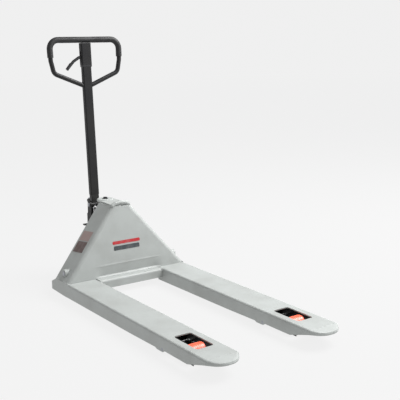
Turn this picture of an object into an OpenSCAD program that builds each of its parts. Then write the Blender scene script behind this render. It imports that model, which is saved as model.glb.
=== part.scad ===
/* [Forks] */
// Width over both forks
overall_w = 685; // [600:5:720]
// Length from the foot of the front plate to the fork tips
fork_l = 1220; // [1150:10:1300]
// Width of one fork
fork_w = 160; // [150:2:170]
// Height of the fork top with the truck lowered
fork_top = 80; // [78:1:84]
// Thickness of the fork sheet
fork_t = 5; // [4:0.5:6]
// Width of the opening above the load roller
opening_w = 84; // [82:1:88]

/* [A-frame] */
// Half width of the front plate at its top
crown_half_w = 57; // [54:1:60]
// Height of the top of the front plate
crown_z = 424; // [422:1:428]
// Distance the front plate leans back over its height
lean_back = 52; // [46:1:56]
// Depth of the side plates, front to back
side_depth = 136; // [128:1:137]
// Thickness of the side plates and the front plate
plate_t = 6; // [5:0.5:7]
// Outer radius of the bend between the front plate and a side plate
bend_r = 22; // [16:1:24]
// Height of the pressed crease across the front plate
crease_z = 135; // [130:1:140]

/* [Lift] */
// Radius of the lift ram
ram_r = 17.5; // [15:0.5:19]
// Distance from the foot of the front plate back to the kingpin
kingpin_y = 222; // [221:0.5:224]
// Height of the rocker shaft
rocker_z = 118; // [117:0.5:119]
// Distance from the foot of the front plate back to the rocker shaft
rocker_y = 72; // [71:0.5:73]
// Height of the collar trunnions, lowered
trunnion_z = 198; // [197.5:0.5:198.5]
// Radial running clearance of every turning fit
run = 0.05; // [0.02:0.01:0.08]

/* [Wheels] */
// Radius of the steer wheels
steer_r = 90; // [86:1:90]
// Width of one steer wheel
steer_w = 48; // [40:1:50]
// Radius of the load rollers
load_r = 37; // [36:0.5:38]
// Width of one load roller
load_w = 66; // [62:1:67]
// Distance from the front plate to the load roller axles
load_y = 990; // [985:1:995]

/* [Tiller] */
// Height of the tiller pivot
tiller_z = 386; // [385:0.5:387]
// Distance from the front plate back to the tiller pivot
tiller_y = 344; // [343:0.5:345]
// Backward lean of the upright tiller, in degrees
tiller_lean = 3.1; // [2.8:0.1:3.4]
// Distance along the tiller from its pivot to the centre of the top bar
handle_l = 875; // [850:1:880]
// Width of the tiller tube
tube_w = 50; // [46:1:52]
// Depth of the tiller tube
tube_d = 28; // [26:1:30]
// Half width of the loop handle at its widest
loop_half_w = 200; // [190:1:205]

/* [Hidden] */
$fn = 48;
paint = [0.66, 0.67, 0.67];
pale = [0.84, 0.85, 0.85];
dark = [0.16, 0.16, 0.17];
steel = [0.72, 0.72, 0.74];
orange = [0.93, 0.33, 0.22];

// The origin is under the middle of the truck, on the floor
tail_y = 456;
heel_y = (fork_l - tail_y) / 2;
half_w = overall_w / 2;
fork_x = half_w - fork_w / 2;
roof_z = fork_top - fork_t;
eps = 0.02;

// Lines of the A-frame
foot = [-half_w, 0, fork_top];
peak = [-crown_half_w, lean_back, crown_z];
edge = peak - foot;
edge_l = norm(edge);
edge_dir = edge / edge_l;
edge_tilt = acos(edge_dir[2]);
edge_turn = atan2(edge_dir[1], edge_dir[0]);
plate_lean = atan2(lean_back, crown_z - fork_top);
plate_h = norm([lean_back, crown_z - fork_top]);
strip_w = 34;
strip_x = strip_w / sin(atan2(plate_h, half_w - crown_half_w));

// Opening above the load roller
opening_y = -975;
opening_l = 168;

// Roller arms
arm_pivot = [-865, 26];
arm_horn = [-843.5, 62.4];
arm_side_x = 39;
arm_t = 6;
rod_pin_r = 4;
// Rocker
rocker_low = [93.5, 60.9];
rocker_arm_x = 124;
rocker_t = 12;
trunnion_r = 9;
slot_bias = 1.6;
// Pump
deck_z = 236;
block_top = 266;
barrel_y = 377;
barrel_top = 330;
cap_z = 386.6;
gland_z = 390;
press_roller = [376, 403.5];
yoke_x = 27;
// Tiller stations, measured along the tiller from its pivot
foot_top = 54;
lever_s = 790;
lever_x = 15;
loop_low_s = 638;

function unit(v) = v / norm(v);
function in_edge_frame(v) =
  let (a = unit(v - (v * edge_dir) * edge_dir))
  [a * [cos(edge_tilt) * cos(edge_turn), cos(edge_tilt) * sin(edge_turn), -sin(edge_tilt)],
   a * [-sin(edge_turn), cos(edge_turn), 0]];

// Points on an arc about c, from angle a0 to a1
function arc(c, r, a0, a1, n = 12) = [for (i = [0:n]) c + r * [cos(a0 + (a1 - a0) * i / n), sin(a0 + (a1 - a0) * i / n)]];

// Outline of a link with round ends of radius r1 at a and r2 at b
module link(a, r1, b, r2) {
  aim = atan2(b[1] - a[1], b[0] - a[0]);
  wrap = acos((r1 - r2) / norm(b - a));
  polygon(concat(arc(a, r1, aim + wrap, aim + 360 - wrap), arc(b, r2, aim - wrap, aim + wrap)));
}

// A side profile drawn as [y, z], t thick and centred on x
module slab_x(x, t) { translate([x - t / 2, 0, 0]) rotate([90, 0, 90]) linear_extrude(t) children(); }

// A bar of radius r along X, centred on x, y, z
module bar_x(x, y, z, r, l) { translate([x - l / 2, y, z]) rotate([0, 90, 0]) cylinder(r = r, h = l); }

module ring_x(x, y, z, r, hole, l) {
  difference() {
    bar_x(x, y, z, r, l);
    bar_x(x, y, z, hole, l + 2);
  }
}

module rounded(w, d, r) {
  square([w - 2 * r, d], center = true);
  square([w, d - 2 * r], center = true);
  for (x = [-1, 1], y = [-1, 1]) translate([x * (w / 2 - r), y * (d / 2 - r)]) circle(r);
}

module both_sides() {
  children();
  mirror([1, 0, 0]) children();
}

// A tube of radius r swept along points, with flat ends
module sweep(points, r, sides) {
  n = len(points);
  dirs = [for (i = [0:n - 1]) unit(points[min(i + 1, n - 1)] - points[max(i - 1, 0)])];
  ups = [for (d = dirs) let (s = abs(d[1]) > 0.9 ? cross(d, [1, 0, 0]) : cross(d, [0, 1, 0])) unit(s)];
  rings = [for (i = [0:n - 1], k = [0:sides - 1])
    let (v = cross(dirs[i], ups[i]), a = 360 * k / sides) points[i] + r * (cos(a) * ups[i] + sin(a) * v)];
  walls = [for (i = [0:n - 2], k = [0:sides - 1])
    let (m = (k + 1) % sides) [i * sides + k, (i + 1) * sides + k, (i + 1) * sides + m, i * sides + m]];
  caps = [[for (k = [0:sides - 1]) k], [for (k = [sides - 1:-1:0]) (n - 1) * sides + k]];
  polyhedron(rings, concat(walls, caps), convexity = 8);
}

// ---- Chassis ----

// Bent sheet down one slanted corner: side plate, bend and a strip of the front
module corner_profile() {
  f = in_edge_frame([1, 0, 0]);
  s = in_edge_frame([0, 1, 0]);
  spread = acos(f * s);
  reach = bend_r / tan(spread / 2);
  centre = bend_r / sin(spread) * (f + s);
  in_f = unit(s - (s * f) * f);
  in_s = unit(f - (s * f) * s);
  side_l = side_depth * norm(cross([0, 1, 0], edge_dir));
  out_f = atan2(-in_f[1], -in_f[0]);
  out_s = atan2(-in_s[1], -in_s[0]);
  turn = out_f > out_s ? out_f - 360 : out_f;
  polygon(concat(
    [strip_w * f + plate_t * in_f, strip_w * f], arc(centre, bend_r, turn, out_s - 360),
    [side_l * s, side_l * s + plate_t * in_s], arc(centre, bend_r - plate_t, out_s - 360, turn)));
}

module side_plate() color(paint) {
  intersection() {
    translate(foot - 30 * edge_dir) rotate([0, edge_tilt, edge_turn]) linear_extrude(edge_l + 60)
      corner_profile();
    translate([-half_w - 10, -10, fork_top]) cube([half_w + 10, 260, crown_z - fork_top]);
  }
}

module shaft_sleeve(outer) { ring_x(-303, rocker_y, rocker_z, outer, 12 + run, 46); }

module left_side_plate() difference() {
  side_plate();
  bar_x(-300, rocker_y, rocker_z, 20, 80);
}
module right_side_plate() mirror([1, 0, 0]) left_side_plate();
module shaft_sleeves() color(paint) both_sides() shaft_sleeve(20);

// The front panel between the two bent strips, with its pressed crease
module front_plate() color(paint) {
  low = half_w - strip_x;
  top = crown_half_w - strip_x;
  band_w = 410;
  crease_y = (crease_z - fork_top) * tan(plate_lean);
  difference() {
    translate([0, 0, fork_top]) rotate([90 - plate_lean, 0, 0]) mirror([0, 0, 1]) linear_extrude(plate_t)
      polygon([[-low, 0], [low, 0], [top, plate_h], [-top, plate_h]]);
    translate([-band_w / 2, -20, fork_top - 1]) cube([band_w, 20 + crease_y, crease_z - fork_top + 1]);
    translate([-half_w, -5, fork_top - 10]) cube([overall_w, 20, 10]);
  }
  translate([-band_w / 2, crease_y, fork_top]) cube([band_w, plate_t, crease_z - fork_top]);
}

// Roof above the ram: an arched roll along the front, a flat plate and a round boss
module crown() color(pale) {
  roll = [[-crown_half_w + 10, 5], [-30, 14], [0, 18], [30, 14], [crown_half_w - 10, 5]];
  difference() {
    union() {
      for (i = [0:len(roll) - 2]) hull() for (k = [i, i + 1])
        translate([roll[k][0], lean_back + 9, crown_z + roll[k][1]]) sphere(10, $fn = 32);
      translate([0, 0, crown_z]) linear_extrude(9) polygon([[-50, lean_back + 8], [50, lean_back + 8],
        [44, kingpin_y], [-44, kingpin_y]]);
    }
    translate([-100, 0, crown_z - 20]) cube([200, 320, 20]);
    translate([0, kingpin_y, crown_z - 1]) cylinder(r = 44, h = 60);
  }
  translate([0, kingpin_y, crown_z]) rotate_extrude() {
    square([44, 6]);
    square([38, 12]);
    translate([38, 6]) circle(6);
  }
}

// Socket that holds the top of the ram, and the nut above it
module ram_socket() color(dark) {
  translate([0, kingpin_y, crown_z - 14]) difference() {
    cylinder(r = 34, h = 14);
    translate([0, 0, -1]) cylinder(r = ram_r + eps, h = 16);
  }
  translate([0, kingpin_y, crown_z + 12]) {
    cylinder(r = 15, h = 1.7);
    translate([0, 0, 1.6]) cylinder(r = 11, h = 6, $fn = 6);
  }
}
module lift_ram() color(steel) translate([0, kingpin_y, 0]) {
  translate([0, 0, 225]) cylinder(r1 = ram_r - 3, r2 = ram_r, h = 3);
  translate([0, 0, 228]) cylinder(r = ram_r, h = crown_z - 228);
}

// Folded ledge that joins the fork heels
module cross_member() color(paint) {
  in_w = overall_w - 2 * fork_w;
  translate([in_w / 2, 0, 0]) rotate([90, 0, -90]) linear_extrude(in_w) {
    difference() {
      union() {
        translate([30, 68]) circle(12);
        translate([-14, 74]) square([44, 6]);
        translate([36, 35]) square([6, 33]);
      }
      translate([30, 68]) circle(6);
      translate([0, 56]) square([30, 18]);
      translate([18, 30]) square([18, 38]);
    }
  }
}

// Lower edge of a fork seen from the side, from the heel to the nose
fork_low = [[0, 12], [-600, 16], [-811, 20], [-825, 15], [-868, 15], [-884, 24], [-1046, 24], [-1166, 60]];
fork_end = -1166;

module fork_section() {
  r_out = 10;
  difference() {
    union() {
      translate([-fork_w / 2, 0]) square([fork_w, fork_top - r_out]);
      translate([-fork_w / 2 + r_out, fork_top - r_out]) square([fork_w - 2 * r_out, r_out]);
      for (x = [-1, 1]) translate([x * (fork_w / 2 - r_out), fork_top - r_out]) circle(r_out);
    }
    translate([-fork_w / 2 + fork_t, -1]) square([fork_w - 2 * fork_t, roof_z - r_out + fork_t + 1]);
    translate([-fork_w / 2 + r_out, 0]) square([fork_w - 2 * r_out, roof_z]);
    for (x = [-1, 1]) translate([x * (fork_w / 2 - r_out), fork_top - r_out]) circle(r_out - fork_t);
  }
}

module left_fork() color(paint) difference() {
  intersection() {
    translate([-fork_x, 0, 0]) rotate([90, 0, 0]) linear_extrude(-fork_end) fork_section();
    slab_x(-fork_x, fork_w + 2) polygon(concat(fork_low, [[fork_end, 90], [0, 90]]));
  }
  translate([-fork_x, opening_y, roof_z - 10]) linear_extrude(30) rounded(opening_w, opening_l, 12);
  bar_x(-fork_x, arm_pivot[0], arm_pivot[1], 8 + eps, fork_w + 10);
}
module right_fork() mirror([1, 0, 0]) left_fork();

// Rounded nose that closes the fork tip, with a pocket for the entry roller
nose_l = fork_l + fork_end;
nose_r = 75;
module left_nose() color(pale) difference() {
  hull() {
    for (x = [-1, 1]) translate([-fork_x + x * (fork_w / 2 - nose_r), fork_end - nose_l + nose_r, fork_top - 14]) {
      cylinder(r1 = nose_r, r2 = nose_r - 3, h = 6, $fn = 64);
      translate([0, 0, -6]) cylinder(r = nose_r - 2, h = 6, $fn = 64);
    }
    for (x = [-1, 1]) translate([-fork_x + x * (fork_w / 2 - 10), fork_end, fork_top - 10])
      rotate([90, 0, 0]) cylinder(r = 10, h = 2, $fn = 32);
    translate([-half_w, fork_end - 2, 60]) cube([fork_w, 2, 8]);
  }
  translate([-fork_x - fork_w, fork_end, 0]) cube([2 * fork_w, 2 * nose_r, fork_top + 10]);
  translate([-fork_x - 24, fork_end - 43, 0]) cube([48, 24, roof_z - 2]);
}
module right_nose() mirror([1, 0, 0]) left_nose();

module entry_roller() color(dark) ring_x(-fork_x, fork_end - 31, 62, 9, 4 + run, 42);
module left_entry_roller() entry_roller();
module right_entry_roller() mirror([1, 0, 0]) entry_roller();

// The heel walls run back beside the steer wheels
module heel_walls() color(paint) both_sides() {
  slab_x(-half_w + fork_t / 2, fork_t)
    polygon([[0, 12], [40, 11], [185, 15], [185, 56], [135, fork_top], [0, fork_top]]);
  slab_x(-half_w + fork_w - fork_t / 2, fork_t) polygon([[0, 35], [60, 35], [60, 60], [45, fork_top], [0, fork_top]]);
}

// Pins of the roller arms and of the entry rollers
module fork_pins() color(steel) both_sides() {
  bar_x(-fork_x, arm_pivot[0], arm_pivot[1], 8, fork_w - 0.2);
  bar_x(-fork_x, fork_end - 31, 62, 4, 47.9);
}

// Plain decals: one block on the front, two small ones on the side plate
module front_badge() color([0.72, 0.18, 0.16]) translate([8, 0, fork_top]) rotate([90 - plate_lean, 0, 0])
  linear_extrude(0.8) {
    translate([0, 164]) rounded(160, 16, 5);
    translate([0, 136]) rounded(150, 22, 5);
  }

module side_label(low, high, c) {
  f = in_edge_frame([1, 0, 0]);
  s = in_edge_frame([0, 1, 0]);
  scale_e = edge_l / (crown_z - fork_top);
  color(c) translate(foot + edge_dir * (low - fork_top) * scale_e) rotate([0, edge_tilt, edge_turn])
    linear_extrude((high - low) * scale_e)
      polygon([34 * s, 122 * s, 122 * s - 0.8 * unit(f - (s * f) * s), 34 * s - 0.8 * unit(f - (s * f) * s)]);
}
module side_labels() {
  side_label(215, 262, [0.36, 0.30, 0.27]);
  side_label(266, 308, [0.75, 0.62, 0.60]);
}

// ---- Lift linkage ----

// The shaft across the frame and the pins that carry the push rods
module rocker_shaft() color(steel) {
  bar_x(0, rocker_y, rocker_z, 12, 656);
  both_sides() bar_x(-fork_x, rocker_low[0], rocker_low[1], 6, 40);
}

module rocker_arms() color(dark) {
  q = [rocker_y, rocker_z];
  along = unit([kingpin_y, trunnion_z] - q);
  up = [-along[1], along[0]];
  ring_x(0, rocker_y, rocker_z, 20, 12 + eps, 558.6);
  both_sides() {
    difference() {
      slab_x(-rocker_arm_x, rocker_t) link(q, 22, q + 170 * along, 18);
      slab_x(-rocker_arm_x, rocker_t + 2)
        link(q + 151 * along + slot_bias * up, 11.4, q + 172 * along + slot_bias * up, 11.4);
      bar_x(-rocker_arm_x, rocker_y, rocker_z, 20 + eps, rocker_t + 2);
    }
    for (x = [-14, 14]) difference() {
      slab_x(-fork_x + x, 8) link(q, 24, rocker_low, 13);
      bar_x(-fork_x + x, rocker_y, rocker_z, 20 + eps, 10);
      bar_x(-fork_x + x, rocker_low[0], rocker_low[1], 6 + eps, 10);
    }
  }
}

// Push rod with a slotted eye at the heel and an open-topped jaw at the roller arm
module left_push_rod() color(dark) difference() {
  slab_x(-fork_x, 14) {
    translate([-835, 50]) square([925, 12]);
    translate([-862, 50]) square([37, 22]);
    link([rocker_low[0], 57], 13, [rocker_low[0], 61], 13);
  }
  slab_x(-fork_x, 16) {
    link([rocker_low[0], 56.4], 6.6, [rocker_low[0], 61.4], 6.6);
    translate(arm_horn) circle(rod_pin_r + 1);
    translate([arm_horn[0] - rod_pin_r - 1, arm_horn[1]]) square([2 * rod_pin_r + 2, 20]);
  }
}
module right_push_rod() mirror([1, 0, 0]) left_push_rod();

module left_roller_arm() color(dark) {
  hub = [-load_y, load_r];
  slab_x(-fork_x, 2 * arm_side_x - arm_t + 1) polygon([[-874, 24], [-874, 31], [-944, 42], [-944, 36]]);
  ring_x(-fork_x, arm_pivot[0], arm_pivot[1], 12, 8 + run, 100);
  for (x = [-arm_side_x, arm_side_x]) difference() {
    slab_x(-fork_x + x, arm_t) link(arm_pivot, 12.5, hub, 15);
    bar_x(-fork_x + x, arm_pivot[0], arm_pivot[1], 11, arm_t + 2);
    bar_x(-fork_x + x, hub[0], hub[1], 8 + eps, arm_t + 2);
  }
  for (x = [-12, 12]) difference() {
    slab_x(-fork_x + x, arm_t) link(arm_pivot, 12.5, arm_horn, 6.2);
    bar_x(-fork_x + x, arm_pivot[0], arm_pivot[1], 11, arm_t + 2);
    bar_x(-fork_x + x, arm_horn[0], arm_horn[1], rod_pin_r + eps, arm_t + 2);
  }
}
module right_roller_arm() mirror([1, 0, 0]) left_roller_arm();

// Horn pin and roller axle of one arm
module left_arm_pins() color(steel) {
  bar_x(-fork_x, arm_horn[0], arm_horn[1], rod_pin_r, 32);
  bar_x(-fork_x, -load_y, load_r, 8, 88);
}
module right_arm_pins() mirror([1, 0, 0]) left_arm_pins();

module left_load_tyre() color(orange) translate([-fork_x, -load_y, load_r]) rotate([0, 90, 0]) difference() {
  union() {
    cylinder(r = load_r, h = load_w - 6, center = true);
    cylinder(r = load_r - 3, h = load_w, center = true);
    for (z = [-1, 1]) translate([0, 0, z * (load_w / 2 - 3)]) rotate_extrude() translate([load_r - 3, 0]) circle(3);
  }
  cylinder(r = 25, h = load_w + 2, center = true);
}
module right_load_tyre() mirror([1, 0, 0]) left_load_tyre();
module left_load_hub() color(steel) {
  ring_x(-fork_x, -load_y, load_r, 25, 17, load_w - 2);
  for (x = [-1, 1]) ring_x(-fork_x + x * 24, -load_y, load_r, 17, 8 + run, 14);
}
module right_load_hub() mirror([1, 0, 0]) left_load_hub();

// ---- Pump unit ----

module thrust_collar() color(dark) {
  translate([0, kingpin_y, 187.4]) difference() {
    cylinder(r = 48, h = 23.2);
    translate([0, 0, -1]) cylinder(r = 32 + run, h = 26);
  }
  both_sides() {
    bar_x(-89, kingpin_y, trunnion_z, trunnion_r, 90);
    bar_x(-rocker_arm_x - 9, kingpin_y, trunnion_z, 16, 3);
  }
}

module wheel_carrier() color(dark) difference() {
  union() {
    slab_x(0, 22) {
      link([kingpin_y, steer_r], 24, [kingpin_y, 140], 30);
      translate([kingpin_y - 30, 140]) square([60, 43]);
    }
    translate([0, kingpin_y, 183]) cylinder(r = 44, h = 4);
    translate([0, kingpin_y, 187]) cylinder(r = 32, h = 24);
  }
  bar_x(0, kingpin_y, steer_r, 10 + eps, 30);
}
module steer_axle() color(steel) {
  bar_x(0, kingpin_y, steer_r, 10, 132);
  both_sides() ring_x(-64, kingpin_y, steer_r, 14, 10 + eps, 1.5);
}
module left_steer_tyre() color(dark) translate([-37, kingpin_y, steer_r]) rotate([0, 90, 0]) difference() {
  union() {
    cylinder(r = steer_r, h = steer_w - 12, center = true);
    cylinder(r = steer_r - 6, h = steer_w, center = true);
    for (z = [-1, 1]) translate([0, 0, z * (steer_w / 2 - 6)]) rotate_extrude() translate([steer_r - 6, 0]) circle(6);
  }
  cylinder(r = 68, h = steer_w + 2, center = true);
}
module right_steer_tyre() mirror([1, 0, 0]) left_steer_tyre();

// Cast hub with a web between rim and boss, and its two bearings
module left_steer_hub() color(paint) {
  difference() {
    bar_x(-37, kingpin_y, steer_r, 68, steer_w - 2);
    for (x = [-1, 1]) difference() {
      bar_x(-37 + x * 19, kingpin_y, steer_r, 60, 16);
      bar_x(-37 + x * 19, kingpin_y, steer_r, 28, 18);
    }
    bar_x(-37, kingpin_y, steer_r, 20, steer_w + 2);
  }
}
module right_steer_hub() mirror([1, 0, 0]) left_steer_hub();
module left_steer_bearings() color(steel)
  for (x = [-1, 1]) ring_x(-37 + x * 15, kingpin_y, steer_r, 20, 10 + run, 14);
module right_steer_bearings() mirror([1, 0, 0]) left_steer_bearings();

module pump_block() color(dark) difference() {
  union() {
    translate([0, kingpin_y, 211]) cylinder(r = 40, h = deck_z - 211);
    translate([0, 0, deck_z]) linear_extrude(block_top - deck_z) link([0, kingpin_y], 46, [0, barrel_y], 34);
    for (x = [-14.5, 14.5]) slab_x(x, 5) {
      translate([404, 245]) square([14, 15]);
      translate([418, 252.5]) circle(7.5);
    }
    for (x = [-10.5, 10.5]) slab_x(x, 5) {
      translate([294, block_top - 2]) square([16, 24]);
      translate([302, 288]) circle(8);
    }
  }
  translate([0, kingpin_y, 214]) cylinder(r = 21, h = 60);
  translate([0, barrel_y, 241]) cylinder(r = 8 + run, h = 60);
  bar_x(0, 418, 252.5, 4 + eps, 60);
  bar_x(0, 302, 288, 4 + eps, 60);
}
module oil_tank() color(dark) translate([0, kingpin_y, block_top]) difference() {
  union() {
    cylinder(r = 58, h = 73);
    cylinder(r = 52, h = 79);
    translate([0, 0, 73]) rotate_extrude() translate([52, 0]) circle(6);
  }
  translate([0, 0, -1]) cylinder(r = 30 + eps, h = 90);
}
module lift_cylinder() color(dark) translate([0, kingpin_y, block_top]) difference() {
  cylinder(r = 30, h = gland_z - block_top);
  translate([0, 0, -1]) cylinder(r = 21, h = 200);
}
module ram_gland() color(steel) translate([0, kingpin_y, gland_z]) difference() {
  cylinder(r = 33, h = 12);
  translate([0, 0, -1]) cylinder(r = ram_r + run, h = 20);
}
module plunger_barrel() color(dark) translate([0, barrel_y, block_top]) difference() {
  cylinder(r = 28, h = barrel_top - block_top);
  translate([0, 0, -1]) cylinder(r = 8 + run, h = 100);
  translate([0, 0, 24]) cylinder(r = 15.6, h = 100);
}
module pump_plunger() color(steel) translate([0, barrel_y, 0]) {
  translate([0, 0, 286]) cylinder(r = 8, h = cap_z - 7 - 286);
  translate([0, 0, cap_z - 7.6]) cylinder(r = 16.4, h = 7.6);
}
spring_low = block_top + 24;
spring_high = cap_z - 7.6;
spring_turns = 7;
module plunger_spring() color(steel) sweep([for (i = [0:16 * spring_turns]) let (a = i * 22.5)
  [13 * cos(a), barrel_y + 13 * sin(a), spring_low + 2.2 + (spring_high - spring_low - 4.4) * i / (16 * spring_turns)]], 2, 8);

module yoke_cheeks() color(dark) {
  both_sides() difference() {
    slab_x(-yoke_x - 3.5, 7) {
      polygon([[318, block_top], [366, block_top], [tiller_y + 17.8, tiller_z - 3], [tiller_y - 17.8, tiller_z - 3]]);
      translate([tiller_y, tiller_z]) circle(18);
    }
    bar_x(-yoke_x - 3.5, tiller_y, tiller_z, 8 + eps, 10);
  }
  translate([-yoke_x, 317, 306]) cube([2 * yoke_x, 6, 44]);
}
module tiller_pin() color(steel) difference() {
  union() {
    bar_x(0, tiller_y, tiller_z, 8, 2 * yoke_x + 20);
    both_sides() bar_x(-yoke_x - 9, tiller_y, tiller_z, 10.5, 3.6);
  }
  translate([0, tiller_y, tiller_z - 12]) cylinder(r = 4.5, h = 24);
}
module valve_lever() color(steel) {
  difference() {
    slab_x(0, 8) {
      link([302, 288], 7.5, [332, 289], 5);
      link([332, 289], 3.2, [tiller_y - 1, tiller_z - 20], 3);
    }
    bar_x(0, 302, 288, 4 + run, 10);
  }
}
// Lever and pedal pins, the filler plug and a grease nipple
module pump_fittings() color(steel) {
  bar_x(0, 302, 288, 4, 28);
  bar_x(0, 418, 252.5, 4, 38);
  translate([-32, kingpin_y + 28, 345]) cylinder(r = 7, h = 8);
  translate([24, 300, block_top]) cylinder(r = 3, h = 7);
}
module foot_pedal() color(dark) difference() {
  union() {
    slab_x(0, 22) link([418, 252.5], 6.4, [434, 256], 4);
    translate([-22, 432, 252]) cube([44, tail_y - 432 - 5, 6]);
    translate([-17, tail_y - 5.01, 252]) cube([34, 5.01, 6]);
    for (x = [-17, 17]) translate([x, tail_y - 5, 252]) cylinder(r = 5, h = 6);
  }
  bar_x(0, 418, 252.5, 4 + run, 60);
}

// ---- Tiller ----

// Stands its children on the tiller's own line: x across, z along, y through
module on_tiller() translate([0, tiller_y, tiller_z]) rotate([-tiller_lean, 0, 0]) children();

// Extrudes an [x, s] outline through the tiller's depth, t thick
module slab_y(t) rotate([90, 0, 0]) translate([0, 0, -t / 2]) linear_extrude(t) children();

module tiller_foot() color(dark) difference() {
  union() {
    bar_x(0, tiller_y, tiller_z, 15, 2 * yoke_x - 2);
    both_sides() slab_x(-21.8, 6.4) link([tiller_y, tiller_z], 14, press_roller, 9.5);
    on_tiller() translate([0, 0, 8]) linear_extrude(foot_top - 8) rounded(46, 26, 4);
    on_tiller() translate([0, 0, foot_top - 1]) linear_extrude(40) rounded(43.9, 21.9, 3);
  }
  bar_x(0, tiller_y, tiller_z, 8 + run, 80);
  on_tiller() translate([-6, -9, -30]) cube([12, 18, 140]);
  translate([-7, tiller_y - 20, tiller_z - 20]) cube([14, 60, 26]);
  bar_x(0, press_roller[0], press_roller[1], 5 + eps, 80);
}
module pressure_roller() color(steel) ring_x(0, press_roller[0], press_roller[1], 15, 5 + run, 35);

module tiller_tube() color(dark) on_tiller() translate([0, 0, foot_top]) linear_extrude(lever_s - 45 - foot_top)
  difference() {
    rounded(tube_w, tube_d, 6);
    rounded(tube_w - 6, tube_d - 6, 3);
  }

module lever_housing() color(dark) on_tiller() difference() {
  translate([0, 0, lever_s - 45]) linear_extrude(handle_l - 17 - lever_s + 45) rounded(58, 33, 7);
  translate([0, 0, lever_s - 50]) linear_extrude(90) rounded(52, 18, 3);
  translate([-60, -5.6, lever_s - 34]) cube([60, 11.2, 60]);
  translate([lever_x, 0, lever_s]) rotate([90, 0, 0]) cylinder(r = 4 + eps, h = 60, center = true);
}
// Pins of the pressure roller and of the control lever
module tiller_pins() color(steel) {
  bar_x(0, press_roller[0], press_roller[1], 5, 51);
  on_tiller() translate([lever_x, 0, lever_s]) rotate([90, 0, 0]) cylinder(r = 4, h = 34, center = true);
}

// Flat lever in the housing, with a rounded black grip outside it
module control_lever() color(dark) on_tiller() {
  difference() {
    slab_y(9) {
      link([lever_x, lever_s], 9.5, [0, lever_s], 9);
      link([0, lever_s], 9, [-38, lever_s - 7], 8);
    }
    for (p = [[lever_x, 4 + run], [0, 3.7]]) translate([p[0], 0, lever_s]) rotate([90, 0, 0])
      cylinder(r = p[1], h = 20, center = true);
  }
  sweep(arc_path([[-42, 0, lever_s - 8], [-72, 0, lever_s - 26], [-112, 0, lever_s - 68]], 60, 8), 7.6, 16);
}

module control_rod() color(steel) on_tiller() {
  translate([0, 0, 62]) cylinder(r = 4, h = lever_s - 15 - 62);
  for (y = [-1, 1]) translate([-5, y * 6.6 - 1, lever_s - 13.5]) cube([10, 2, 19.5]);
  translate([-5, -7.6, lever_s - 15.5]) cube([10, 15.2, 2.5]);
  translate([0, 0, lever_s]) rotate([90, 0, 0]) cylinder(r = 2.5, h = 11.2, center = true);
  translate([0, 0, 12]) cylinder(r = 2.5, h = 52);
  for (s = [14:9:60]) translate([0, 0, s]) cylinder(r = 4, h = 5);
}

// Rounds the inner corners of a path with arcs of radius r
function arc_path(p, r, n) = [for (i = [0:len(p) - 1])
  let (last = len(p) - 1)
  if (i == 0 || i == last) p[i]
  else
    let (u = unit(p[i - 1] - p[i]), v = unit(p[i + 1] - p[i]), open = acos(u * v),
         c = p[i] + unit(u + v) * r / sin(open / 2), e1 = (p[i] + u * r / tan(open / 2) - c) / r,
         e2 = (p[i] + v * r / tan(open / 2) - c) / r, swing = 180 - open)
    each [for (k = [0:n]) c + r * (sin(swing * (1 - k / n)) * e1 + sin(swing * k / n) * e2) / sin(swing)]];

loop_side_s = 770;
module loop_frame() color(dark) on_tiller() difference() {
  union() for (m = [-1, 1])
    sweep(arc_path([[m * 12, 0, loop_low_s - 3], [m * 186, 0, loop_low_s + 66],
      [m * loop_half_w, 0, loop_side_s], [m * (loop_half_w + 2), 0, handle_l - 52]], 34, 7), 12, 20);
  translate([-tube_w / 2 - eps, -30, 500]) cube([tube_w + 2 * eps, 60, 200]);
  for (x = [-1, 1]) translate([x * loop_half_w, 0, loop_side_s + 100]) cube([80, 80, 170], center = true);
}
module hand_grip() color(dark) on_tiller() difference() {
  sweep(arc_path([[-loop_half_w, 0, loop_side_s + 15], [-loop_half_w - 2, 0, handle_l], [loop_half_w + 2, 0, handle_l],
    [loop_half_w, 0, loop_side_s + 15]], 48, 9), 16.3, 24);
  translate([-loop_half_w - 50, -30, loop_side_s - 10]) cube([2 * loop_half_w + 100, 60, 25 + eps]);
}

// ---- Assembly ----

module place() translate([0, heel_y, 0]) children();

place() left_side_plate();
place() right_side_plate();
place() shaft_sleeves();
place() front_plate();
place() crown();
place() ram_socket();
place() lift_ram();
place() cross_member();
place() left_fork();
place() right_fork();
place() left_nose();
place() right_nose();
place() heel_walls();
place() fork_pins();
place() front_badge();
place() side_labels();
place() left_entry_roller();
place() right_entry_roller();
place() rocker_shaft();
place() rocker_arms();
place() left_push_rod();
place() right_push_rod();
place() left_roller_arm();
place() left_arm_pins();
place() right_roller_arm();
place() right_arm_pins();
place() left_load_tyre();
place() left_load_hub();
place() right_load_tyre();
place() right_load_hub();
place() thrust_collar();
place() wheel_carrier();
place() steer_axle();
place() pump_block();
place() oil_tank();
place() lift_cylinder();
place() ram_gland();
place() plunger_barrel();
place() yoke_cheeks();
place() tiller_pin();
place() pump_fittings();
place() left_steer_tyre();
place() left_steer_hub();
place() left_steer_bearings();
place() right_steer_tyre();
place() right_steer_hub();
place() right_steer_bearings();
place() pump_plunger();
place() plunger_spring();
place() valve_lever();
place() foot_pedal();
place() tiller_foot();
place() tiller_pins();
place() tiller_tube();
place() lever_housing();
place() loop_frame();
place() hand_grip();
place() pressure_roller();
place() control_lever();
place() control_rod();
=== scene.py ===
# %% [markdown]
# # A hand pallet truck
#
# This notebook dresses a working model of a hand pallet truck: two forks, an A-shaped frame, a hydraulic
# pump on two steer wheels, and a tiller with a loop handle. The moving model comes first, as a fixed
# frame. Each cell after it adds one finish or one piece, in metres, where the frame says it belongs.

# %% Load the frame
import math

import bmesh
import bpy
from mathutils import Matrix, Vector


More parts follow.
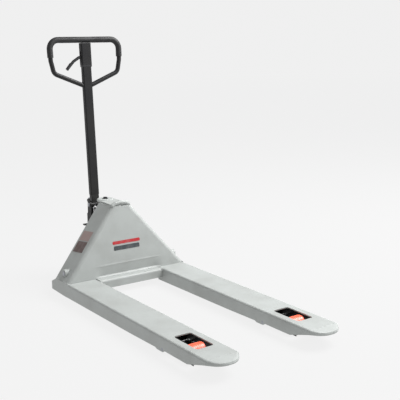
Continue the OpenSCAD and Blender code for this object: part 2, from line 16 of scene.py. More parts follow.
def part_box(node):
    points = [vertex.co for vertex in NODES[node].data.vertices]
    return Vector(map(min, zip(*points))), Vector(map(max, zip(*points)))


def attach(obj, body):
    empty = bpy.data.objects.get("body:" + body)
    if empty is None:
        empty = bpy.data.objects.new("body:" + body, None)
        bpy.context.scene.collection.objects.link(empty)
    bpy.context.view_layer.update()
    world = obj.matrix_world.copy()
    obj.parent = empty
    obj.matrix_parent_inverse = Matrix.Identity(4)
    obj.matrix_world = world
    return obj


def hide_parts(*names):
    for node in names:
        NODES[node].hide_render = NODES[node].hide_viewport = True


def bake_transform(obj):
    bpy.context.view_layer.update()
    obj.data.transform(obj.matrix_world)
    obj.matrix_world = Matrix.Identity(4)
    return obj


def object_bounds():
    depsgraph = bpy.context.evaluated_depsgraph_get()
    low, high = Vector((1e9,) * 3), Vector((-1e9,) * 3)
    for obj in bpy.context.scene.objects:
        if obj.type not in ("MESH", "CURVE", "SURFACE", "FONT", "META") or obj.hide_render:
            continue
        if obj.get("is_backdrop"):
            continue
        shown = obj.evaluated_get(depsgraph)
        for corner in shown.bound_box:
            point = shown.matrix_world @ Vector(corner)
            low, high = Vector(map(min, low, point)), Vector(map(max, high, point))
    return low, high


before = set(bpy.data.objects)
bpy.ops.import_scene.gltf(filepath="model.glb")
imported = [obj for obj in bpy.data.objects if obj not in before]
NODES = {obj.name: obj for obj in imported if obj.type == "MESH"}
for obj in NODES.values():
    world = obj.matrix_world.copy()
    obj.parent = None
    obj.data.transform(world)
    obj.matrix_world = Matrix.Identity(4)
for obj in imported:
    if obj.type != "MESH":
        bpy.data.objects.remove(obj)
cad_low, cad_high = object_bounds()
MM = 0.001

# %% [markdown]
# ## Camera, floor and light
#
# The camera stands low at the front left, about four metres away, with a short telephoto lens, so the
# forks run towards it without swelling. A product shot wants a pale floor and a big soft source. A
# broad panel high on the right and a small one in front light the top faces most and leave the left
# side a step darker, which is what makes bent sheet metal readable.

# %% Camera
CAMERA_PLACE = Vector((-1.957, -3.080, 1.265))
CAMERA_TURN = -34.88
CAMERA_LIFT = 11.51
CAMERA_ROLL = -0.63
LENS_MM = 71.85
FULL_FRAME_MM = 36.0


def camera_axes(turn, lift, roll):
    """Right, up and back vectors of a camera that looks along +Y at turn 0."""
    a, e, r = (math.radians(v) for v in (turn, lift, roll))
    back = Vector((math.sin(a) * math.cos(e), -math.cos(a) * math.cos(e), math.sin(e)))
    right = Vector((math.cos(a), math.sin(a), 0.0))
    up = back.cross(right)
    return (
        math.cos(r) * right + math.sin(r) * up,
        math.cos(r) * up - math.sin(r) * right,
        back,
    )


def make_camera():
    data = bpy.data.cameras.new("camera")
    data.lens, data.sensor_width = LENS_MM, FULL_FRAME_MM
    cam = bpy.data.objects.new("camera", data)
    bpy.context.scene.collection.objects.link(cam)
    axes = camera_axes(CAMERA_TURN, CAMERA_LIFT, CAMERA_ROLL)
    cam.matrix_world = Matrix(axes).transposed().to_4x4()
    cam.location = CAMERA_PLACE
    bpy.context.scene.camera = cam
    return cam


camera = make_camera()
print("camera:", [round(v, 2) for v in camera.location])


# %% One helper for every node tree
def hex_colour(text):
    """An sRGB hex colour as linear RGBA."""
    parts = [int(text[i : i + 2], 16) / 255 for i in (1, 3, 5)]
    return [*(c / 12.92 if c <= 0.04045 else ((c + 0.055) / 1.055) ** 2.4 for c in parts), 1.0]


def add(tree, kind, inputs=None, **settings):
    """Adds a node. An input is a value, or a socket to link from."""
    made = tree.nodes.new(kind)
    for key, value in settings.items():
        setattr(made, key, value)
    for key, value in (inputs or {}).items():
        if isinstance(value, bpy.types.NodeSocket):
            tree.links.new(value, made.inputs[key])
        else:
            made.inputs[key].default_value = value
    return made


# %% Floor and soft light
FLOOR_HALF = 30.0


def make_floor():
    mesh = bpy.data.meshes.new("floor")
    h = FLOOR_HALF
    mesh.from_pydata([(-h, -h, 0), (h, -h, 0), (h, h, 0), (-h, h, 0)], [], [(0, 1, 2, 3)])
    floor = bpy.data.objects.new("floor", mesh)
    bpy.context.scene.collection.objects.link(floor)
    paint = bpy.data.materials.new("pale_studio_floor")
    paint.use_nodes = True
    shader = paint.node_tree.nodes["Principled BSDF"]
    shader.inputs["Base Color"].default_value = hex_colour("#3A3A3A")
    shader.inputs["Roughness"].default_value = 0.95
    shader.inputs["Specular IOR Level"].default_value = 0.0
    shader.inputs["Emission Color"].default_value = hex_colour("#FFFFFF")
    shader.inputs["Emission Strength"].default_value = 0.84
    mesh.materials.append(paint)
    floor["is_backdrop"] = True
    return paint


def make_backdrop(paint):
    """A curved wall of the floor's own paint, far behind the truck."""
    reach, tall = FLOOR_HALF * 0.8, 9.0
    turns = [math.radians(v) for v in range(15, 106, 6)]
    feet = [(reach * math.cos(a), reach * math.sin(a)) for a in turns]
    rim = [(x, y, z) for z in (0.0, tall) for x, y in feet]
    count = len(feet)
    walls = [(i + 1, i, count + i, count + i + 1) for i in range(count - 1)]
    mesh = bpy.data.meshes.new("backdrop")
    mesh.from_pydata(rim, [], walls)
    backdrop = bpy.data.objects.new("backdrop", mesh)
    bpy.context.scene.collection.objects.link(backdrop)
    mesh.materials.append(paint)
    backdrop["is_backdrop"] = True


def make_panel(name, place, aim, size, watts):
    data = bpy.data.lights.new(name, "AREA")
    data.shape, data.size, data.energy = "SQUARE", size, watts
    lamp = bpy.data.objects.new(name, data)
    lamp.location = place
    lamp.rotation_euler = (Vector(aim) - Vector(place)).to_track_quat("-Z", "Y").to_euler()
    bpy.context.scene.collection.objects.link(lamp)


def make_sky(strength):
    world = bpy.data.worlds.new("studio")
    world.use_nodes = True
    world.node_tree.nodes["Background"].inputs["Color"].default_value = hex_colour("#FFFFFF")
    world.node_tree.nodes["Background"].inputs["Strength"].default_value = strength
    bpy.context.scene.world = world


make_backdrop(make_floor())
make_sky(0.50)
make_panel("overhead", (3.0, -0.9, 4.0), (0, 0, 0.2), 3.0, 410)
make_panel("front_fill", (2.4, -5.0, 1.9), (0, 0.4, 0.3), 1.6, 9)
bpy.context.scene.view_settings.view_transform = "Standard"

# %% [markdown]
# ## Finishes
#
# A hand truck wears only a few finishes. The frame is mild steel, welded and then powder coated: baked
# polymer that flows into a slightly rippled skin called orange peel, with ripples a few millimetres
# across. The pump and tiller have the same coat in black. Rollers are cast polyurethane, grips are
# rubber, and pins are zinc plated. Each finish starts from typical values for that material and adds
# one pattern at its real size. A pattern finer than a few tenths of a millimetre would not show, so it
# is drawn as coarse as it needs to be.


# %% Building blocks of a finish
def new_finish(name, colour, roughness, metallic=0.0):
    """A material with its colour and shader in place. Returns it with its tree and shader."""
    finish = bpy.data.materials.new(name)
    finish.use_nodes = True
    tree = finish.node_tree
    shader = tree.nodes["Principled BSDF"]
    shader.inputs["Base Color"].default_value = hex_colour(colour)
    shader.inputs["Roughness"].default_value = roughness
    shader.inputs["Metallic"].default_value = metallic
    return finish, tree, shader


def place_socket(tree):
    """Object coordinates. They are in metres and stay with the piece as it moves."""
    return add(tree, "ShaderNodeTexCoord").outputs["Object"]


def grain(tree, size_mm, detail=2.0, place=None):
    """Soft noise whose blotches are about size_mm across."""
    source = place or place_socket(tree)
    return add(
        tree, "ShaderNodeTexNoise", {"Vector": source, "Scale": 1000 / size_mm, "Detail": detail}
    ).outputs["Fac"]


def spread(tree, value, low, high, to_low, to_high):
    """Stretches part of a pattern's range to another range."""
    sockets = {"Value": value, "From Min": low, "From Max": high, "To Min": to_low, "To Max": to_high}
    return add(tree, "ShaderNodeMapRange", sockets).outputs["Result"]


def blend_colours(tree, factor, first, second):
    """Mixes two colours. Each is a hex text or a socket."""
    mixer = add(tree, "ShaderNodeMix", data_type="RGBA")
    tree.links.new(factor, mixer.inputs["Factor"])
    for socket, value in ((mixer.inputs[6], first), (mixer.inputs[7], second)):
        if isinstance(value, str):
            socket.default_value = hex_colour(value)
        else:
            tree.links.new(value, socket)
    return mixer.outputs[2]


def bump(tree, shader, height, depth_mm, strength=1.0):
    """Raises a pattern by depth_mm where it is 1."""
    node = add(tree, "ShaderNodeBump", {"Height": height, "Distance": depth_mm * MM, "Strength": strength})
    tree.links.new(node.outputs["Normal"], shader.inputs["Normal"])


# %% [markdown]
# ### Powder coat on steel
#
# The coat's colour is even, but hands, dust and forklift traffic leave cloudy patches 100 mm across,
# and the lowest part of a truck collects grime. A thin second pattern of sparse scuffs changes only
# the roughness, so it shows as dull marks in the highlights, as scuffs on a real truck do.


# %% Powder coat
def powder_coat(name, colour, grimy, roughness, peel_mm=3.0, peel_depth=0.05, gloss=0.4):
    finish, tree, shader = new_finish(name, colour, roughness)
    place = place_socket(tree)
    clouds = spread(tree, grain(tree, 110, 4, place), 0.38, 0.72, 0.0, 0.5)
    height = add(tree, "ShaderNodeSeparateXYZ", {"Vector": place}).outputs["Z"]
    low_down = spread(tree, height, 0.0, 0.07, 0.75, 0.0)
    speckle = spread(tree, grain(tree, 9, 5, place), 0.50, 0.72, 0.0, 1.0)
    grime = add(tree, "ShaderNodeMath", {0: low_down, 1: speckle}, operation="MULTIPLY").outputs[0]
    dirt = add(tree, "ShaderNodeMath", {0: clouds, 1: grime}, operation="MAXIMUM").outputs[0]
    tree.links.new(blend_colours(tree, dirt, colour, grimy), shader.inputs["Base Color"])
    streaks = add(tree, "ShaderNodeMapping", {"Vector": place, "Scale": (1.0, 0.12, 1.0)}).outputs["Vector"]
    scuffs = spread(tree, grain(tree, 6, 6, streaks), 0.60, 0.70, roughness, roughness + 0.18)
    tree.links.new(scuffs, shader.inputs["Roughness"])
    bump(tree, shader, grain(tree, peel_mm, 1, place), peel_depth, 0.35)
    shader.inputs["Specular IOR Level"].default_value = gloss
    return finish


grey_coat = powder_coat("light_grey_powder_coat", "#A9ADAB", "#949693", 0.47)
# The crown, the top of the frame, wears a slightly paler copy of the frame's grey coat: a little painted
# highlight.
top_highlight_coat = powder_coat("pale_grey_powder_coat", "#ABAFAD", "#9A9C99", 0.50)
black_coat = powder_coat("black_powder_coat", "#1B1B1D", "#2A2927", 0.46, 2.2, 0.04, 0.28)


# %% [markdown]
# ### Sand-cast iron, painted
#
# The pump block is poured into a sand mould, so its skin has grains and pits half a millimetre to two
# millimetres across under the black paint. Two sizes of noise give the coarse pits and the fine grit.


# %% Painted casting
def cast_iron(name, colour):
    finish, tree, shader = new_finish(name, colour, 0.55)
    place = place_socket(tree)
    coarse = grain(tree, 4, 3, place)
    fine = grain(tree, 1.2, 2, place)
    skin = add(tree, "ShaderNodeMath", {0: coarse, 1: fine}, operation="ADD").outputs[0]
    bump(tree, shader, skin, 0.35, 0.5)
    oily = spread(tree, grain(tree, 60, 4, place), 0.4, 0.7, 0.35, 0.65)
    tree.links.new(oily, shader.inputs["Roughness"])
    tree.links.new(blend_colours(tree, coarse, colour, "#242321"), shader.inputs["Base Color"])
    return finish


black_casting = cast_iron("painted_sand_cast_iron", "#161617")


# %% [markdown]
# ### Metals
#
# Zinc plate on turned steel is a slightly blue, cloudy silver with fine rings from the lathe. Hard
# chrome on the ram and the plunger is ground and polished, so it is much smoother. Springs and levers
# are blackened in a hot salt bath, which leaves a dark oxide with an oily sheen. Cast aluminium on the
# wheel hubs is duller and warmer than zinc.


# %% Metals
WAVE_PERIOD = 6.283


def turned_metal(name, colour, roughness, cloudy, ring_mm, ring_depth):
    finish, tree, shader = new_finish(name, colour, roughness, 1.0)
    place = place_socket(tree)
    clouded = blend_colours(tree, grain(tree, 14, 4, place), colour, cloudy)
    tree.links.new(clouded, shader.inputs["Base Color"])
    dull = spread(tree, grain(tree, 5, 3, place), 0.35, 0.7, roughness, roughness + 0.14)
    tree.links.new(dull, shader.inputs["Roughness"])
    rings = add(tree, "ShaderNodeTexWave", {"Vector": place, "Scale": 1000 / ring_mm / WAVE_PERIOD})
    bump(tree, shader, rings.outputs["Fac"], ring_depth, 0.3)
    return finish


zinc_plate = turned_metal("zinc_plated_steel", "#A6A8AD", 0.34, "#8C8E94", 1.5, 0.02)
hard_chrome = turned_metal("hard_chrome", "#E2E3E6", 0.08, "#D5D6DA", 1.0, 0.002)
black_oxide = turned_metal("black_oxide_steel", "#3A3B3E", 0.42, "#2C2C2E", 1.5, 0.02)
cast_aluminium = turned_metal("cast_aluminium", "#B5B6B6", 0.45, "#969796", 3.0, 0.05)


# %% [markdown]
# ### Cast polyurethane, rubber and moulded plastic
#
# The load rollers run on cast polyurethane in a bright orange red. It is slightly translucent, which a
# touch of subsurface light shows, and dust dulls it in patches. Solid rubber is nearly black with a
# soft sheen. The grips and the lever are moulded, with a fine spark-eroded texture.


# %% Polymers
def polyurethane(name, colour, dusty):
    finish, tree, shader = new_finish(name, colour, 0.38)
    place = place_socket(tree)
    dust = spread(tree, grain(tree, 18, 5, place), 0.50, 0.80, 0.0, 0.45)
    tree.links.new(blend_colours(tree, dust, colour, dusty), shader.inputs["Base Color"])
    tree.links.new(spread(tree, dust, 0.0, 0.6, 0.32, 0.6), shader.inputs["Roughness"])
    shader.inputs["Subsurface Weight"].default_value = 0.12
    shader.inputs["Subsurface Radius"].default_value = (0.004, 0.0015, 0.0008)
    shader.inputs["Subsurface Scale"].default_value = 1.0
    bump(tree, shader, grain(tree, 2.5, 3, place), 0.08, 0.4)
    return finish


def moulded(name, colour, worn, roughness, grit_mm, grit_depth):
    finish, tree, shader = new_finish(name, colour, roughness)
    place = place_socket(tree)
    patches = spread(tree, grain(tree, 45, 4, place), 0.4, 0.75, 0.0, 1.0)
    tree.links.new(blend_colours(tree, patches, colour, worn), shader.inputs["Base Color"])
    tree.links.new(spread(tree, patches, 0.0, 1.0, roughness, roughness - 0.12), shader.inputs["Roughness"])
    bump(tree, shader, grain(tree, grit_mm, 2, place), grit_depth, 0.5)
    return finish


orange_polyurethane = polyurethane("cast_polyurethane", "#F4603C", "#E08468")
solid_rubber = moulded("solid_rubber", "#262627", "#3A3937", 0.72, 1.6, 0.12)
grip_rubber = moulded("moulded_grip_rubber", "#171718", "#232324", 0.62, 1.0, 0.10)
black_nylon = moulded("moulded_nylon", "#1D1D1F", "#2A2A2C", 0.45, 0.8, 0.05)


# %% [markdown]
# ### Two-colour vinyl labels
#
# A label is one sheet of vinyl, screen printed in two colours. The line between them is straight, so how
# far a point is along one direction picks its colour. On the side plate that direction is the slanted
# edge's own. The sheet is smooth, with a slight ripple from being rubbed down.


# %% Printed vinyl
def printed_vinyl(name, above, below, along, level):
    finish, tree, shader = new_finish(name, above, 0.4)
    place = place_socket(tree)
    reach = add(tree, "ShaderNodeVectorMath", {0: place, 1: along}, operation="DOT_PRODUCT").outputs["Value"]
    high = add(tree, "ShaderNodeMath", {0: reach, 1: level}, operation="GREATER_THAN").outputs[0]
    printed = blend_colours(tree, high, below, above)
    faded = spread(tree, grain(tree, 30, 3, place), 0.4, 0.75, 0.0, 0.25)
    tree.links.new(blend_colours(tree, faded, printed, "#9C9694"), shader.inputs["Base Color"])
    bump(tree, shader, grain(tree, 12, 2, place), 0.02, 0.4)
    return finish


red_film = printed_vinyl("printed_vinyl_front", "#B3262C", "#3A4145", (0, 0, 1), 0.2285)
brown_film = printed_vinyl("printed_vinyl_side", "#9A8480", "#5A4643", (0.634, 0.1155, 0.764), 0.1289)
print("finishes:", len(bpy.data.materials))

# %% [markdown]
# ## Dressing the frame's own nodes
#
# Every steel part keeps the exact shape that the mechanism needs, so only its finish changes here.

# %% Finishes by node
NODE_FINISH = {
    grey_coat: "left_side_plate right_side_plate shaft_sleeves front_plate cross_member left_fork "
    "right_fork left_nose right_nose heel_walls",
    top_highlight_coat: "crown",
    black_coat: "rocker_arms left_push_rod right_push_rod left_roller_arm right_roller_arm thrust_collar "
    "yoke_cheeks tiller_tube lever_housing loop_frame foot_pedal oil_tank lift_cylinder",
    black_casting: "wheel_carrier pump_block plunger_barrel tiller_foot",
    zinc_plate: "fork_pins rocker_shaft left_arm_pins right_arm_pins steer_axle ram_gland "
    "tiller_pin pump_fittings left_steer_bearings right_steer_bearings pressure_roller left_load_hub "
    "right_load_hub",
    black_oxide: "plunger_spring valve_lever tiller_pins control_rod ram_socket",
    hard_chrome: "lift_ram pump_plunger",
    orange_polyurethane: "left_load_tyre right_load_tyre",
    solid_rubber: "left_steer_tyre right_steer_tyre",
    cast_aluminium: "left_steer_hub right_steer_hub",
    grip_rubber: "hand_grip",
    black_nylon: "control_lever left_entry_roller right_entry_roller",
    red_film: "front_badge",
    brown_film: "side_labels",
}


def dress(obj, finish):
    obj.data.materials.clear()
    obj.data.materials.append(finish)


for finish, names in NODE_FINISH.items():
    for name in names.split():
        dress(NODES[name], finish)
undressed = set(NODES) - {n for names in NODE_FINISH.values() for n in names.split()}
print("nodes without a finish:", sorted(undressed))

# %% [markdown]
# ## Tools for the detail pieces
#
# Each detail piece is a plain mesh that rides on one body of the mechanism. A small function hands it
# over: it adds the finish, names the body, and hides the frame nodes that the piece replaces.


# %% Handing a piece over
def hand_over(name, mesh, finish, body, replaced=()):
    mesh.materials.clear()
    mesh.materials.append(finish)
    piece = bpy.data.objects.new(name, mesh)
    bpy.context.scene.collection.objects.link(piece)
    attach(piece, body)
    if replaced:
        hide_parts(*replaced)
    print(f"{name}: {len(mesh.polygons)} faces")
    return piece


def closed_mesh(name, build):
    """A mesh from a function that fills a bmesh, with its faces turned outwards."""
    work = bmesh.new()
    build(work)
    bmesh.ops.remove_doubles(work, verts=work.verts, dist=1e-6)
    bmesh.ops.recalc_face_normals(work, faces=work.faces)
    mesh = bpy.data.meshes.new(name)
    work.to_mesh(mesh)
    work.free()
    return mesh


def shade(mesh, angle=35):
    mesh.shade_smooth()
    mesh.set_sharp_from_angle(angle=math.radians(angle))
    return mesh


# %% [markdown]
# ### Node trees with named sizes
#
# Weld beads, links, ribs and screws repeat along a line, so Geometry Nodes make them. A tree takes a
# plain line or a few points as its input, plus sizes with names. The result is copied to an ordinary
# mesh, because an exported file holds no modifiers.


# %% Making and baking a node tree
SOCKET_KINDS = {float: "NodeSocketFloat", int: "NodeSocketInt", Vector: "NodeSocketVector"}


def start_tree(name, sizes):
    """A node tree with geometry in and out and one named input for each size."""
    tree = bpy.data.node_groups.new(name, "GeometryNodeTree")
    tree.interface.new_socket("Geometry", in_out="INPUT", socket_type="NodeSocketGeometry")
    for label, value in sizes.items():
        socket = tree.interface.new_socket(label, in_out="INPUT", socket_type=SOCKET_KINDS[type(value)])
        socket.default_value = value
    tree.interface.new_socket("Finish", in_out="INPUT", socket_type="NodeSocketMaterial")
    tree.interface.new_socket("Geometry", in_out="OUTPUT", socket_type="NodeSocketGeometry")
    given = add(tree, "NodeGroupInput").outputs
    return tree, given


def end_tree(tree, given, shape, smooth=True):
    """Realizes the copies and sets their finish."""
    solid = add(tree, "GeometryNodeRealizeInstances", {"Geometry": shape}).outputs[0]
    soft = add(tree, "GeometryNodeSetShadeSmooth", {0: solid, "Shade Smooth": smooth}).outputs[0]
    coated = add(tree, "GeometryNodeSetMaterial", {"Geometry": soft, "Material": given["Finish"]})
    add(tree, "NodeGroupOutput", {"Geometry": coated.outputs[0]})
    return tree


def grow(tree, seed, finish, **sizes):
    """The mesh that a tree makes from a seed mesh. Sizes are given by name, with _ for a space."""
    host = bpy.data.objects.new("seed", seed)
    bpy.context.scene.collection.objects.link(host)
    modifier = host.modifiers.new("grow", "NODES")
    modifier.node_group = tree
    for item in tree.interface.items_tree:
        if item.in_out == "INPUT" and item.name.replace(" ", "_") in sizes:
            modifier[item.identifier] = sizes[item.name.replace(" ", "_")]
        elif item.in_out == "INPUT" and item.name == "Finish":
            modifier[item.identifier] = finish
    graph = bpy.context.evaluated_depsgraph_get()
    mesh = bpy.data.meshes.new_from_object(host.evaluated_get(graph))
    host.modifiers.remove(modifier)
    bpy.data.objects.remove(host)
    return mesh


def line_seed(*lines):
    """A mesh of open or closed lines. A line that ends where it starts is closed."""
    mesh = bpy.data.meshes.new("line")
    places, edges = [], []
    for points in lines:
        start = len(places)
        closed = (Vector(points[0]) - Vector(points[-1])).length < 1e-7
        points = points[:-1] if closed else points
        places += [tuple(p) for p in points]
        edges += [(start + i, start + i + 1) for i in range(len(points) - 1)]
        edges += [(start + len(points) - 1, start)] if closed else []
    mesh.from_pydata(places, edges, [])
    return mesh


# %% [markdown]
# ## Front panel
#
# The panel between the two bent strips is a pressed sheet. Above the crease it leans back with the
# frame. Below the crease the press tool pushed a long shallow band back to vertical, and the band
# fades out at both ends. At the very bottom the sheet curls forward to meet the forks. One function
# gives the sheet's depth at any point, and a grid follows it. A Solidify step adds the thickness.

# %% Depth of the pressed sheet
plate_low, plate_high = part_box("front_plate")
LEAN = (plate_high.y - plate_low.y - 0.0059) / (plate_high.z - plate_low.z)
CREASE_Z = 0.135
BAND_HALF, BAND_FADE, BAND_SHIFT = 0.206, 0.060, 0.009
RIDGE_HIGH, RIDGE_WIDE = 0.0012, 0.003
CURL_SHARE, CURL_TALL = 0.9, 0.009
PANEL_TOP_HALF, SHEET_THICK = 0.013, 0.0055


def ease(value, start, end):
    t = min(max((value - start) / (end - start), 0.0), 1.0)
    return t * t * (3 - 2 * t)


def panel_depth(x, z):
    """How far the front of the sheet is behind the frame's foremost line."""
    up = z - plate_low.z
    leaning = up * LEAN
    crease = (CREASE_Z - plate_low.z) * LEAN
    inside = 1 - ease(abs(x - BAND_SHIFT), BAND_HALF - BAND_FADE, BAND_HALF)
    below = 1 - ease(z, CREASE_Z - 0.005, CREASE_Z + 0.001)
    pressed = leaning + (crease - leaning) * inside * below
    ridge = RIDGE_HIGH * inside * math.exp(-(((z - CREASE_Z - RIDGE_WIDE) / RIDGE_WIDE) ** 2))
    curl = CURL_SHARE * pressed * (1 - ease(up, 0.0, CURL_TALL))
    return pressed - ridge - curl


# %% The panel's mesh
def build_panel(work):
    tall = plate_high.z - plate_low.z
    rows = [0.0006 * i for i in range(16)] + [0.012 + 0.0025 * i for i in range(24)]
    rows += [0.074 + (tall - 0.074) * i / 30 for i in range(31)]
    grid = []
    for up in rows:
        half = plate_high.x + (PANEL_TOP_HALF - plate_high.x) * up / tall
        xs = [half * i / 60 for i in range(-60, 61)]
        z = plate_low.z + up
        grid.append([work.verts.new((x, plate_low.y + panel_depth(x, z), z)) for x in xs])
    for lower, upper in zip(grid, grid[1:]):
        for i in range(len(lower) - 1):
            work.faces.new((lower[i], lower[i + 1], upper[i + 1], upper[i]))


work = bmesh.new()
build_panel(work)
panel_sheet = bpy.data.meshes.new("panel_sheet")
work.to_mesh(panel_sheet)
work.free()
press = bpy.data.objects.new("press", panel_sheet)
bpy.context.scene.collection.objects.link(press)
wall = press.modifiers.new("sheet thickness", "SOLIDIFY")
wall.thickness, wall.offset = SHEET_THICK, -1
thick_sheet = bpy.data.meshes.new_from_object(press.evaluated_get(bpy.context.evaluated_depsgraph_get()))
press.modifiers.clear()
bpy.data.objects.remove(press)
hand_over("pressed_front_panel", shade(thick_sheet, 50), grey_coat, "chassis", ["front_plate"])

# %% [markdown]
# ## Weld beads
#
# The frame is welded from bent plate, and each seam shows a bead. The welder's torch leaves the weld
# pool in small steps, so a bead looks like a row of overlapping coins. The tree puts a flattened ball
# at every step along a line, and the steps overlap. The whole frame is coated after welding, so the
# beads wear the frame's own finish.

# %% Bead tree
tree, given = start_tree("weld_bead", {"Step": 0.0022, "Width": 0.0026})
seam = add(tree, "GeometryNodeMeshToCurve", {"Mesh": given["Geometry"]}).outputs[0]
stops = add(tree, "GeometryNodeCurveToPoints", {"Curve": seam, "Length": given["Step"]}, mode="LENGTH")
coin = add(tree, "GeometryNodeMeshIcoSphere", {"Radius": given["Width"], "Subdivisions": 2}).outputs[0]
thin = add(tree, "GeometryNodeTransform", {"Geometry": coin, "Scale": (1.0, 1.0, 0.62)}).outputs[0]
laid = add(
    tree,
    "GeometryNodeInstanceOnPoints",
    {"Points": stops.outputs["Points"], "Instance": thin, "Rotation": stops.outputs["Rotation"]},
).outputs[0]
bead_tree = end_tree(tree, given, laid)


# %% Seams of the frame
SLEEVE_Y, SLEEVE_Z, SLEEVE_BEAD_R = 0.454, 0.118, 0.0205
FRAME_HALF, CROWN_HALF, FORK_TOP, CROWN_Z = 0.3425, 0.057, 0.080, 0.424
SIDE_SLOPE = (FRAME_HALF - CROWN_HALF) / (CROWN_Z - FORK_TOP)


def sleeve_seam(side):
    """Where a shaft sleeve comes out of the slanted side plate."""
    points = []
    for i in range(49):
        a = 2 * math.pi * i / 48
        y, z = SLEEVE_Y + SLEEVE_BEAD_R * math.cos(a), SLEEVE_Z + SLEEVE_BEAD_R * math.sin(a)
        points.append((side * (FRAME_HALF - (z - FORK_TOP) * SIDE_SLOPE), y, z))
    return points


frame_seams = []
for side in (-1, 1):
    frame_seams.append(sleeve_seam(side))
    frame_seams.append([(side * 0.1815, 0.341, 0.0785), (side * 0.1815, 0.381, 0.0795)])
    frame_seams.append([(side * 0.1815, 0.3405, 0.0745), (side * 0.1815, 0.3405, 0.0365)])
    frame_seams.append([(side * 0.3395, 0.386, 0.0812), (side * 0.3395, 0.514, 0.0812)])
    frame_seams.append([(side * 0.0545, 0.440, 0.4245), (side * 0.0545, 0.560, 0.4245)])
frame_beads = grow(bead_tree, line_seed(*frame_seams), grey_coat)
hand_over("frame_weld_beads", frame_beads, grey_coat, "chassis")


# %% Seams of the rocker and the tiller
def ring_line(x, y, z, radius, count=48):
    turns = [2 * math.pi * i / count for i in range(count + 1)]
    return [(x, y + radius * math.cos(a), z + radius * math.sin(a)) for a in turns]


ROCKER_BEAD_R, UPPER_ARM_X, LOWER_ARM_X = 0.0203, 0.124, 0.2625
rocker_seams = [
    ring_line(s * (UPPER_ARM_X + d), SLEEVE_Y, SLEEVE_Z, ROCKER_BEAD_R)
    for s in (-1, 1) for d in (-0.0068, 0.0068)
]
rocker_seams += [
    ring_line(s * LOWER_ARM_X + d, SLEEVE_Y, SLEEVE_Z, ROCKER_BEAD_R)
    for s in (-1, 1) for d in (-0.0185, 0.0185)
]
rocker_beads = grow(bead_tree, line_seed(*rocker_seams), black_coat)
hand_over("rocker_weld_beads", rocker_beads, black_coat, "rocker")

# %% [markdown]
# ## Loop handle
#
# The handle is one steel tube bent into a loop, with a thick rubber grip moulded over its upper half.
# A tube of even section along a bent line is just what Curve to Mesh makes: a circle is swept along
# the line. The corners of the line are rounded first with an exact radius, as a tube bender does.

# %% Tube tree
tree, given = start_tree("bent_tube", {"Radius": 0.012, "Step": 0.004, "Sides": 32})
path = add(tree, "GeometryNodeMeshToCurve", {"Mesh": given["Geometry"]}).outputs[0]
even = add(tree, "GeometryNodeResampleCurve", {"Curve": path, "Length": given["Step"]}, mode="LENGTH")
sizes = {"Radius": given["Radius"], "Resolution": given["Sides"]}
section = add(tree, "GeometryNodeCurvePrimitiveCircle", sizes)
swept = add(
    tree,
    "GeometryNodeCurveToMesh",
    {"Curve": even.outputs[0], "Profile Curve": section.outputs[0], "Fill Caps": True},
).outputs[0]
tube_tree = end_tree(tree, given, swept)

# %% Places along the tiller
TILLER_PIVOT = Vector((0.0, 0.726, 0.386))
TILLER_LEAN = math.radians(3.1)
TILLER_UP = Vector((0.0, math.sin(TILLER_LEAN), math.cos(TILLER_LEAN)))
TILLER_BACK = Vector((0.0, math.cos(TILLER_LEAN), -math.sin(TILLER_LEAN)))


def on_tiller(x, along, behind=0.0):
    """A point x to the side and along metres up the tiller."""
    return TILLER_PIVOT + Vector((x, 0, 0)) + along * TILLER_UP + behind * TILLER_BACK


def bend_line(corners, radius, steps=14):
    """The points of a line whose inner corners are rounded to a radius."""
    points = [corners[0]]
    for before, corner, after in zip(corners, corners[1:], corners[2:]):
        a, b = (before - corner).normalized(), (after - corner).normalized()
        half = a.angle(b) / 2
        back = radius / math.tan(half)
        centre = corner + (a + b).normalized() * (radius / math.sin(half))
        start, end = corner + a * back - centre, corner + b * back - centre
        sweep = start.angle(end)
        for i in range(steps + 1):
            t = i / steps
            mix = (math.sin((1 - t) * sweep) * start + math.sin(t * sweep) * end) / math.sin(sweep)
            points.append(centre + mix)
    return points + [corners[-1]]


# %% Lower tube and upper grip of the loop
LOOP_HALF, LOOP_LOW, LOOP_SIDE, LOOP_TOP = 0.200, 0.638, 0.770, 0.875
print("top of the loop:", [round(v, 3) for v in on_tiller(0, LOOP_TOP)])
legs = []
for side in (-1, 1):
    corners = [
        on_tiller(side * 0.026, LOOP_LOW + 0.001),
        on_tiller(side * 0.186, LOOP_LOW + 0.066),
        on_tiller(side * LOOP_HALF, LOOP_SIDE),
        on_tiller(side * (LOOP_HALF + 0.0003), LOOP_SIDE + 0.0145),
    ]
    legs.append(bend_line(corners[:3], 0.034) + corners[3:])
leg_mesh = grow(tube_tree, line_seed(*legs), black_coat, Radius=0.0118)
hand_over("loop_tube", leg_mesh, black_coat, "tiller", ["loop_frame"])

# %% [markdown]
# The grip is moulded in rubber. Its cross-section is round, and low ribs round the top bar and the
# sides keep wet gloves from slipping.

# %% Grip and its ribs
over = [
    on_tiller(-LOOP_HALF, LOOP_SIDE + 0.015),
    on_tiller(-LOOP_HALF - 0.002, LOOP_TOP),
    on_tiller(LOOP_HALF + 0.002, LOOP_TOP),
    on_tiller(LOOP_HALF, LOOP_SIDE + 0.015),
]
grip_line = bend_line(over, 0.048)
grip_mesh = grow(tube_tree, line_seed(grip_line), grip_rubber, Radius=0.0156, Sides=40)
hand_over("moulded_grip", grip_mesh, grip_rubber, "tiller", ["hand_grip"])

